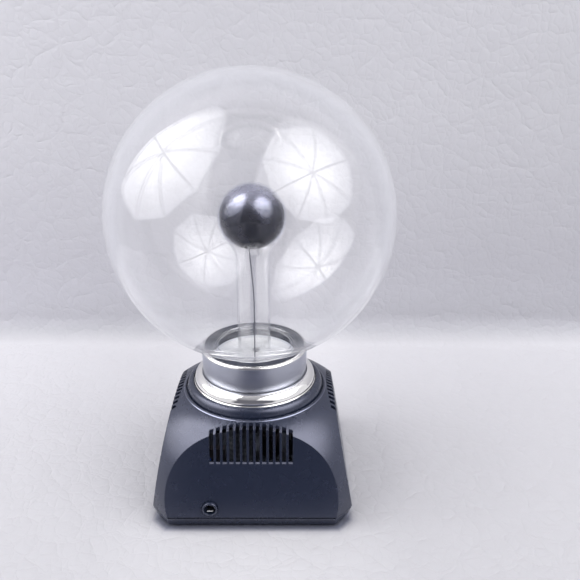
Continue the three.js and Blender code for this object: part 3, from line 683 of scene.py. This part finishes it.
def housing_mesh():
    groove = [(55.0, 79.4), (54.6, 79.8), (53.8, 80.25), (53.35, 80.35), (53.05, 80.2), (52.9, 79.6),
              (52.75, 79.3), (52.35, 79.3)]
    bead = arc(48.0, 79.6, 4.2, 6.7, 2, 90, 16)
    seat = [(47.4, 86.25), (47.2, 86.0), (47.2, DECK), (0, DECK)]
    outside = turned("outside", [(0, SEAM)] + dome(0, 0.8, 73.4, 60) + groove + bead + seat, 256)
    faces = frustum_mesh(face_half(0), 0, face_half(100), 100)
    inset = WALL / math.cos(LEAN)
    inside = turned("inside", [(0, 5), (DOME[0] + DOME[2] - WALL, 5)] + dome(WALL, 0, 80, 24)
                    + [(49, 82), (40.2, 82), (40.2, 95), (0, 95)], 192)
    core = combine(inside, "INTERSECT", frustum_mesh(face_half(0) - inset, 0, face_half(100) - inset, 100))
    solid = combine(outside, "INTERSECT", faces)
    bosses = bmesh.new()
    for sx, sy in CORNERS:
        rod_into(bosses, 4.2, SEAM + 0.4, 62, Matrix.Translation((sx * CASE_SCREW, sy * CASE_SCREW, 0)))
    rod_into(bosses, 8, -4.5, 0.8, FRONT)
    for side in (-1, 1):
        peg = SWITCH_FRAME @ Matrix.Translation((14 * side, 0, 0)) @ Matrix.Rotation(math.pi / 2, 4, "X")
        rod_into(bosses, 3, -1, 6, peg)
    inner_fittings = combine(keep_mesh("bosses", bosses), "INTERSECT", solid.copy())
    shell = combine(solid, "DIFFERENCE", core)
    shell = combine(shell, "UNION", inner_fittings)
    holes = bmesh.new()
    for sx, sy in CORNERS:
        rod_into(holes, 1.7, 5, 30, Matrix.Translation((sx * CASE_SCREW, sy * CASE_SCREW, 0)))
    block_into(holes, (-8.2, -5, -3.1), (8.2, 5, 3.1), SWITCH_FRAME)
    shell = combine(shell, "DIFFERENCE", keep_mesh("holes", holes), slot_cutters())
    bore = bmesh.new()
    rod_into(bore, 5.95, -10, 10, FRONT)
    return crisp(combine(shell, "DIFFERENCE", keep_mesh("bore", bore)), 28)


def tray_mesh():
    low, top = TRAY_LOW.z, TRAY_HIGH.z
    side = [(0, low), (89.8, low), (90.5, low + 0.15), (90.95, low + 0.5), (91.2, low + 1.1),
            (93.5, TRAY_STEP - 0.3), (93.3, TRAY_STEP), (0, TRAY_STEP)]
    body = combine(turned("tray_body", side, 256), "INTERSECT",
                   frustum_mesh(68.4, low, FACE_HALF - 0.3, TRAY_STEP))
    lip_half = FACE_HALF - 1.5
    lip = combine(turned("tray_lip", [(0, low), (92.4, low), (92.4, top), (0, top)], 256), "INTERSECT",
                  frustum_mesh(lip_half, TRAY_STEP - 1, lip_half, top))
    outside = combine(body, "UNION", lip)
    floor = low + WALL
    inside = combine(turned("tray_inside", [(0, floor), (88, floor), (91, top + 1), (0, top + 1)], 128),
                     "INTERSECT", frustum_mesh(66.4, floor, FACE_HALF - WALL - 0.5, top + 1))
    shell = combine(outside, "DIFFERENCE", inside)
    posts, holes = bmesh.new(), bmesh.new()
    for sx, sy in CORNERS:
        at = Matrix.Translation((sx * CASE_SCREW, sy * CASE_SCREW, 0))
        rod_into(posts, 4.5, low + 1, top, at)
        rod_into(holes, 3.4, 0, low + 4, at)
    board_low, _ = span("circuit_board")
    for i in range(1, 5):
        screw_low, screw_high = span(f"board_screw_{i}")
        middle = (screw_low + screw_high) / 2
        rod_into(posts, 3.2, low + 1, board_low.z - 0.3, Matrix.Translation((middle.x, middle.y, 0)))
    for i in range(1, 5):
        foot_low, foot_high = span(f"foot_{i}")
        middle = (foot_low + foot_high) / 2
        rod_into(holes, 6.3, 0, low + 1, Matrix.Translation((middle.x, middle.y, 0)), 64)
    for i in range(-3, 4):
        block_into(holes, (i * 8 - 1.5, -20, 0), (i * 8 + 1.5, 10, low + 4))
    shell = combine(shell, "UNION", keep_mesh("posts", posts))
    shell = combine(shell, "DIFFERENCE", keep_mesh("holes", holes))
    bores = bmesh.new()
    for sx, sy in CORNERS:
        rod_into(bores, 1.7, 0, 20, Matrix.Translation((sx * CASE_SCREW, sy * CASE_SCREW, 0)))
    return crisp(combine(shell, "DIFFERENCE", keep_mesh("bores", bores)), 28)


def build_case():
    housing = add("housing", housing_mesh(), "black_shell", ["housing_shell"])
    housing.data.materials.append(MATERIALS["painted_highlight_edge"])
    # Painted highlight: the lip round the bead's groove and the sloping slot sills get the painted highlight
    # edge finish.
    for face in housing.data.polygons:
        x, y, z = face.center / MM
        ledge_edge = 54.2 < math.hypot(x, y) < 54.95 and z > 79.4 and face.normal.z > 0.3
        outside_slot = max(abs(x), abs(y)) > 63 and min(abs(x), abs(y)) < 30
        slot_sill = outside_slot and z < SLOT_BOTTOM and 0.6 < face.normal.z < 0.8
        if ledge_edge or slot_sill:
            face.material_index = 1
    add("tray", tray_mesh(), "black_shell", ["base_tray"])
    side = [(0, 0.3), (3.6, 0.3), (4.0, 0), (5.4, 0), (5.8, 0.15), (6, 0.5), (6, 2.7), (0, 2.7)]
    foot = turned("foot", side, 64)
    for i in range(1, 5):
        low, high = span(f"foot_{i}")
        at = Matrix.Translation(Vector(((low.x + high.x) / 2, (low.y + high.y) / 2, low.z)) * MM)
        add(f"rubber_foot_{i}", foot, "black_rubber", [f"foot_{i}"], place=at)


# ---- Screws ----
def screw_mesh(head_r, head_h, shank_r, length):
    """A pan-head screw pointing up from its head's underside at z = 0, with a cross recess and a thread."""
    head = arc(0, -head_h * 0.45, head_r, head_h * 0.55, 270, 360, 8)
    thread = []
    turns = int(length / 0.8)
    for i in range(turns):
        z = i * length / turns
        thread += [(shank_r, z + 0.1), (shank_r * 0.78, z + 0.5 * length / turns)]
    body = turned("screw", head + [(head_r, 0)] + thread + [(shank_r * 0.6, length), (0, length)], 32)
    long, narrow = head_r * 0.62, head_r * 0.13
    bars = []
    for turn in (0, math.pi / 2):
        bar = bmesh.new()
        block_into(bar, (-long, -narrow, -head_h - 1), (long, narrow, -head_h * 0.4),
                   Matrix.Rotation(turn, 4, "Z"))
        bars.append(keep_mesh("bar", bar))
    return crisp(combine(body, "DIFFERENCE", *bars))


def build_screws():
    up, down = Matrix.Identity(4), Matrix.Rotation(math.pi, 4, "X")
    outward = SWITCH_FRAME.to_3x3().to_4x4() @ Matrix.Rotation(-math.pi / 2, 4, "X")
    sideways = Matrix.Rotation(math.pi / 2, 4, "Y")
    kinds = [
        ("case_screw", 4, (3, 2.2, 1.4, 20), up),
        ("collar_screw", 3, (2.4, 1.8, 1.3, 5.2), up),
        ("board_screw", 4, (2.5, 1.6, 1.2, 6), down),
        ("switch_screw", 2, (2.2, 1.5, 1, 5), outward),
        ("transistor_screw", 0, (2.4, 1.6, 1.2, 4), sideways),
    ]
    for kind, count, sizes, turn in kinds:
        mesh = screw_mesh(*sizes)
        middle = turn.to_3x3() @ Vector((0, 0, (sizes[3] - sizes[1]) / 2))
        for node in [f"{kind}_{i + 1}" for i in range(count)] or [kind]:
            low, high = span(node)
            at = Matrix.Translation(((low + high) / 2 - middle) * MM) @ turn
            add(f"{node}_turned", mesh, "steel", [node], place=at)


# ---- Sockets, switch and electronics: some keep their CAD shape, some are rebuilt ----
def dress_nodes():
    """CAD nodes whose shape is right get softened edges and their finish."""
    finishes = {
        "switch_body": ("aluminium", 0.2), "switch_slider": ("black_collar", 0.25),
        "circuit_board": ("board_laminate", 0.1), "ferrite_core": ("ferrite", 0.5),
        "heat_sink": ("aluminium", 0.2), "power_transistor": ("black_epoxy", 0.2),
        "film_capacitor": ("film_dip", 1.2), "driver_chip": ("black_epoxy", 0.15),
        "resistor_1": ("white_plastic", 0.1), "resistor_2": ("white_plastic", 0.1),
        "resistor_3": ("white_plastic", 0.1), "switch_lead_1": ("red_sleeving", 0),
        "switch_lead_2": ("black_epoxy", 0), "switch_lead_3": ("black_epoxy", 0),
        "high_voltage_lead": ("red_sleeving", 0),
    }
    for name, (material, width) in finishes.items():
        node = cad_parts[name]
        node.data.materials.clear()
        node.data.materials.append(MATERIALS[material])
        if width:
            edges = node.modifiers.new("soft_edges", "BEVEL")
            edges.width, edges.segments, edges.limit_method = width * MM, 2, "ANGLE"
        else:
            node.data.shade_smooth()


def socket_mesh():
    """The power socket's moulding, its round nose pointing up with the front at z = 0."""
    low, high = span("socket_body")
    back = low.y - high.y
    shoulder = back + 13.5
    block = bmesh.new()
    block_into(block, (-4.5, low.z - JACK_Z, back), (4.5, 5.2, shoulder))
    rim = arc(4.85, -0.8, 0.8, 0.8, 0, 90, 8)
    nose = turned("nose", [(0, shoulder - 1), (5.65, shoulder - 1)] + rim + [(0, 0)], 96)
    hollow = turned("hollow", [(0, shoulder - 5), (3.1, shoulder - 5), (3.1, -4.5), (4.1, -4.5),
                               (4.1, -0.3), (4.4, 0), (4.4, 2), (0, 2)], 96)
    pin_hole = turned("pin_hole", [(0, back - 1), (1.35, back - 1), (1.35, shoulder), (0, shoulder)], 48)
    body = combine(keep_mesh("block", block), "UNION", nose)
    return crisp(combine(body, "DIFFERENCE", hollow, pin_hole), 40)


def contact_mesh():
    """The socket's contact spring: a flat tongue that spreads to a broad tip at its front."""
    low, high = span("socket_spring")
    tip, tongue = bmesh.new(), bmesh.new()
    block_into(tip, (low.x - JACK_X, 0, 0), (high.x - JACK_X, 2.3, high.z - low.z))
    block_into(tongue, (-1.3, 1.6, 0), (1.3, high.y - low.y, high.z - low.z))
    return crisp(combine(keep_mesh("tip", tip), "UNION", keep_mesh("tongue", tongue)))


def build_socket():
    nose = Vector((JACK_X, span("socket_body")[0].y, JACK_Z))
    at = Matrix.Translation(nose * MM) @ Matrix.Rotation(math.pi / 2, 4, "X")
    add("socket_moulding", socket_mesh(), "black_shell", ["socket_body"], place=at)
    low, _ = span("socket_spring")
    at = Matrix.Translation(Vector((JACK_X, low.y, low.z)) * MM)
    add("contact_spring", contact_mesh(), "contact_metal_with_painted_tip", ["socket_spring"], place=at)
    low, high = span("socket_pin")
    pin = [(0, 0), (1.05, 0), (1.05, 11.3), (0.95, 11.7), (0.7, 11.95), (0, 12)]
    at = Matrix.Translation(Vector((JACK_X, high.y, JACK_Z)) * MM) @ Matrix.Rotation(math.pi / 2, 4, "X")
    add("centre_pin", turned("pin", pin, 40), "steel", ["socket_pin"], place=at)


def build_windings():
    windings = (("high_voltage_winding", 11.4, "potting"), ("primary_winding", 7.9, "copper_wire"))
    for node, outer, material in windings:
        low, high = span(node)
        middle = (low + high) / 2
        tall = high.z - low.z
        turns = [(outer - 0.35 * (i % 2), tall * i / 28) for i in range(29)]
        coil = turned(node, [(6.1, 0)] + turns + [(6.1, tall)], 64)
        add(f"{node}_coil", coil, material, [node],
            place=Matrix.Translation(Vector((middle.x, middle.y, low.z)) * MM))


def build_cans():
    cans = (("filter_capacitor", "blue_sleeve"), ("output_capacitor", "blue_sleeve"),
            ("microphone", "aluminium"))
    for node, material in cans:
        low, high = span(node)
        middle, r, h = (low + high) / 2, (high.x - low.x) / 2, high.z - low.z
        can = ([(0, 0.2), (r - 0.8, 0)] + arc(r - 0.5, 0.5, 0.5, 0.5, 270, 360, 5)
               + [(r, 2.0), (r - 0.35, 2.5), (r, 3.0)] + arc(r - 0.7, h - 0.7, 0.7, 0.7, 0, 90, 6)
               + [(r - 1.3, h - 0.35), (0, h - 0.35)])
        add(f"{node}_can", turned(node, can, 64), material, [node],
            place=Matrix.Translation(Vector((middle.x, middle.y, low.z)) * MM))


# ---- Studio ----
def seen_from_front(r, shader):
    """A shader that lets the camera look through the surface from its other side."""
    behind = r.node("ShaderNodeNewGeometry").outputs["Backfacing"]
    clear = r.node("ShaderNodeBsdfTransparent").outputs[0]
    return r.node("ShaderNodeMixShader", {0: behind, 1: shader, 2: clear}).outputs[0]


def distance(r, x, y):
    return r.math("SQRT", r.math("ADD", r.math("MULTIPLY", x, x), r.math("MULTIPLY", y, y)))


def outside_base(r, x, y):
    """How far a place on the floor is outside the footprint of the base, in metres."""
    from_middle = r.math("MAXIMUM", r.math("ABSOLUTE", x), r.math("ABSOLUTE", y))
    from_faces = r.math("SUBTRACT", from_middle, FOOT_HALF)
    radius = distance(r, x, y)
    return r.math("MAXIMUM", from_faces, r.math("SUBTRACT", radius, FOOT_CORNER_R))


def creases(r, per_metre, wander):
    """The grain of soft leather: cells with thin creases between them."""
    sockets = {"Vector": r.place, "Scale": per_metre * 0.7, "Detail": 3.0}
    drift = r.node("ShaderNodeTexNoise", sockets).outputs[1]
    drift = r.times(drift, (wander, wander, wander))
    at = r.node("ShaderNodeVectorMath", {0: r.place, 1: drift}, operation="ADD").outputs[0]
    cells = r.node("ShaderNodeTexVoronoi", {"Vector": at, "Scale": per_metre},
                   feature="DISTANCE_TO_EDGE").outputs[0]
    return r.math("POWER", r.math("MINIMUM", r.math("MULTIPLY", cells, 4.0), 1.0), 0.5)


def backdrop_mesh():
    """The profile of the sheet, level and then upright, drawn out to its width."""
    bend, back = 0.03, 0.245
    turns = [math.pi / 2 * i / 12 for i in range(1, 13)]
    line = [(-3.0, 0.0), (back - bend, 0.0)]
    line += [(back - bend + bend * math.sin(t), bend - bend * math.cos(t)) for t in turns]
    line += [(back, 2.4)]
    bm = bmesh.new()
    rows = [[bm.verts.new((x, y, z)) for x in (-0.75, 0.75)] for y, z in line]
    for a, b in zip(rows, rows[1:]):
        bm.faces.new((a[0], a[1], b[1], b[0]))
    mesh = bpy.data.meshes.new("backdrop")
    bm.to_mesh(mesh)
    bm.free()
    mesh.shade_smooth()
    return mesh


def backdrop_tone(r):
    """Pale grey with painted light and shade: darker to the right of the wall and towards the front, darkest
    in the bend, a painted pool of light behind the globe and a painted contact shadow.
    """
    across, away, height = r.axes()
    upright = r.ramp(height, (0.006, (0, 0, 0)), (0.035, (1, 1, 1)))
    sideways = r.math("MAXIMUM", r.math("MINIMUM", across, 0.4), -0.4)
    # Painted shade: the wall darker to its right.
    painted_side_shade = r.math("MULTIPLY", r.math("MULTIPLY", sideways, upright), -0.38)
    # Painted shade: darker towards the front of the floor, paler at the back.
    painted_side_and_front_shade = r.math("ADD", painted_side_shade, r.math("MAXIMUM", r.math("MULTIPLY_ADD", away, 0.9, 1.0), 0.85))
    mottle = r.ramp(r.noise(3, 3), (0.35, (0.97, 0.97, 0.97)), (0.65, (1.02, 1.02, 1.02)))
    tone = r.times(r.times(r.ramp(height, *BACKDROP_PAINTED_SHADE_BY_HEIGHT), mottle), painted_side_and_front_shade)
    # Painted pool of light on the wall behind the globe.
    from_light_pool = distance(r, across, r.math("SUBTRACT", height, 0.05))
    painted_light_pool = r.ramp(from_light_pool, (0.03, (1.15, 1.15, 1.14)), (0.12, (1, 1, 1)))
    # Painted contact shadow: dark and bluish close round the base, fading out within about 11 mm.
    contact = r.ramp(outside_base(r, across, away), (0.0, (0.13, 0.14, 0.18)), (0.002, (0.10, 0.11, 0.15)),
                     (0.004, (0.28, 0.30, 0.38)), (0.006, (0.66, 0.67, 0.73)),
                     (0.008, (0.91, 0.91, 0.93)), (0.011, (1, 1, 1)))
    return r.times(r.times(tone, painted_light_pool), contact)


def backdrop():
    """A pale floor that turns up into a wall behind the lamp."""
    r = Recipe("backdrop")
    normal = r.bump(creases(r, 110, 0.008), 0.20, r.bump(creases(r, 42, 0.02), 0.36))
    sockets = {"Base Color": backdrop_tone(r), "Roughness": 0.6, "Normal": normal}
    matt = r.node("ShaderNodeBsdfPrincipled", sockets).outputs[0]
    made = bpy.data.objects.new("backdrop", backdrop_mesh())
    made.data.materials.append(r.close(seen_from_front(r, matt)))
    bpy.context.scene.collection.objects.link(made)


def dark_front():
    """A dark sheet of painted shade lying over the floor in front of the lamp, for the dim end of the floor.
    Only reflections show it.
    """
    bm = bmesh.new()
    bm.faces.new([bm.verts.new(at) for at in ((-0.8, -1.2, 0.001), (0.8, -1.2, 0.001), (0.8, -0.09, 0.001),
                                              (-0.8, -0.09, 0.001))])
    mesh = bpy.data.meshes.new("dark_front")
    bm.to_mesh(mesh)
    bm.free()
    r = Recipe("dark_front")
    tone = r.ramp(r.noise(4, 2), (0.3, (0.07, 0.075, 0.10)), (0.7, (0.10, 0.105, 0.14)))
    matt = r.node("ShaderNodeBsdfDiffuse", {"Color": tone}).outputs[0]
    x, y, _ = r.axes()
    half = r.math("MULTIPLY_ADD", y, -0.33, 0.055)
    aside = r.ramp(r.math("DIVIDE", r.math("ABSOLUTE", x), half), (0.55, (1, 1, 1)), (1.0, (0, 0, 0)))
    near = r.ramp(r.math("MULTIPLY", y, -1.0), (0.085, (0, 0, 0)), (0.13, (1, 1, 1)))
    solid = r.math("MULTIPLY", aside, near)
    clear = r.node("ShaderNodeBsdfTransparent").outputs[0]
    matt = r.node("ShaderNodeMixShader", {0: solid, 1: clear, 2: matt}).outputs[0]
    mesh.materials.append(r.close(seen_from_front(r, matt)))
    made = bpy.data.objects.new("dark_front", mesh)
    bpy.context.scene.collection.objects.link(made)
    made.visible_camera = made.visible_diffuse = made.visible_shadow = made.visible_transmission = False


def umbrella(name, at, size, radiance):
    """A white photographer's umbrella: an eight-sided soft light, brightest in its middle, with dim ribs."""
    light = bpy.data.lights.new(name, "AREA")
    light.shape, light.size = "SQUARE", size
    light.energy = radiance * math.pi * size ** 2
    light.use_nodes = True
    r = Recipe(name, light.node_tree)
    sheet = r.node("ShaderNodeNewGeometry").outputs["Parametric"]
    across, along, _ = r.node("ShaderNodeSeparateXYZ", {0: sheet}).outputs
    u = r.math("MULTIPLY_ADD", across, 2.0, -1.0)
    v = r.math("MULTIPLY_ADD", along, 2.0, -1.0)
    out = distance(r, u, v)
    panel = r.math("ABSOLUTE", r.math("PINGPONG", r.math("ARCTAN2", v, u), math.pi / 8))
    edge = r.math("MULTIPLY", out, r.math("COSINE", r.math("SUBTRACT", math.pi / 8, panel)))
    shape = r.ramp(edge, (0.90, (1, 1, 1)), (0.92, (0.15, 0.15, 0.15)), (0.97, (0.0, 0.0, 0.0)))
    rib = r.math("MULTIPLY", out, panel)
    ribs = r.ramp(rib, (0.004, (0.25, 0.25, 0.25)), (0.028, (1, 1, 1)))
    glow = r.ramp(out, (0.0, (1, 1, 1)), (0.3, (0.84, 0.84, 0.85)), (0.6, (0.52, 0.52, 0.53)),
                  (1.0, (0.24, 0.24, 0.25)))
    shade = r.times(shape, ribs)
    shade = r.times(shade, glow)
    shine = r.node("ShaderNodeEmission", {"Color": shade, "Strength": 1.0}).outputs[0]
    r.node("ShaderNodeOutputLight", {"Surface": shine})
    lamp = bpy.data.objects.new(name, light)
    lamp.location = at
    aim = Vector(UMBRELLA_AIM) - Vector(at)
    lamp.rotation_mode = "QUATERNION"
    lamp.rotation_quaternion = aim.to_track_quat("-Z", "Y")
    bpy.context.scene.collection.objects.link(lamp)


def room():
    """A pale room with a dim gap in front, behind the camera. The camera itself sees a plain pale wall."""
    world = bpy.data.worlds.new("studio")
    world.use_nodes = True
    r = Recipe("room", world.node_tree)
    x, y, z = r.node("ShaderNodeSeparateXYZ", {0: r.node("ShaderNodeTexCoord").outputs["Generated"]}).outputs
    aside = r.math("ABSOLUTE", r.math("MULTIPLY_ADD", x, 0.970, r.math("MULTIPLY", y, -0.242)))
    height = r.ramp(z, (0.0, ROOM_SIDES), (0.35, ROOM_SIDES), (0.7, ROOM_TOP))
    gap = r.ramp(aside, (0.25, (1, 1, 1)), (0.31, (0, 0, 0)))
    front = r.ramp(y, (0.05, (1, 1, 1)), (0.15, (0, 0, 0)))
    strip = r.math("MULTIPLY", gap, front)
    ahead = r.ramp(r.math("MULTIPLY", y, -1.0), (0.76, (0, 0, 0)), (0.84, (1, 1, 1)))
    dim = r.math("MAXIMUM", strip, ahead)
    dusk = r.ramp(z, (0.5, (0.15, 0.15, 0.18)), (0.9, (0.50, 0.50, 0.54)))
    around = r.node("ShaderNodeMix", {0: dim, 6: height, 7: dusk}, data_type="RGBA").outputs[2]
    seen = r.node("ShaderNodeLightPath").outputs["Is Camera Ray"]
    plain = (0.60, 0.60, 0.66, 1)
    colour = r.node("ShaderNodeMix", {0: seen, 6: around, 7: plain}, data_type="RGBA").outputs[2]
    shine = r.node("ShaderNodeBackground", {"Color": colour, "Strength": 1.0}).outputs[0]
    r.node("ShaderNodeOutputWorld", {"Surface": shine})
    bpy.context.scene.world = world


def build_studio():
    backdrop()
    dark_front()
    for name, (at, size, radiance) in UMBRELLAS.items():
        umbrella(name, at, size, radiance)
    room()
    bpy.context.scene.view_settings.view_transform = "Standard"
    bpy.context.scene.cycles.transparent_max_bounces = 32


def build_camera():
    level = Vector((math.cos(CAMERA_YAW), -math.sin(CAMERA_YAW), 0))
    ahead = Vector((math.sin(CAMERA_YAW), math.cos(CAMERA_YAW), 0))
    forward = ahead * math.cos(CAMERA_PITCH) - Vector((0, 0, math.sin(CAMERA_PITCH)))
    upright = level.cross(forward)
    right = level * math.cos(CAMERA_ROLL) + upright * math.sin(CAMERA_ROLL)
    up = upright * math.cos(CAMERA_ROLL) - level * math.sin(CAMERA_ROLL)
    data = bpy.data.cameras.new("camera")
    data.sensor_width, data.lens = 36.0, 36.13
    camera = bpy.data.objects.new("camera", data)
    rotation = Matrix((right, up, -forward)).transposed().to_4x4()
    camera.matrix_world = Matrix.Translation(CAMERA_AT) @ rotation
    bpy.context.scene.collection.objects.link(camera)
    bpy.context.scene.camera = camera


build_glass()
build_electrode()
build_collar_tube()
build_sleeve()
build_cup()
build_seal()
build_ring()
build_boot()
build_case()
build_screws()
build_socket()
build_windings()
build_cans()
dress_nodes()
build_studio()
build_camera()
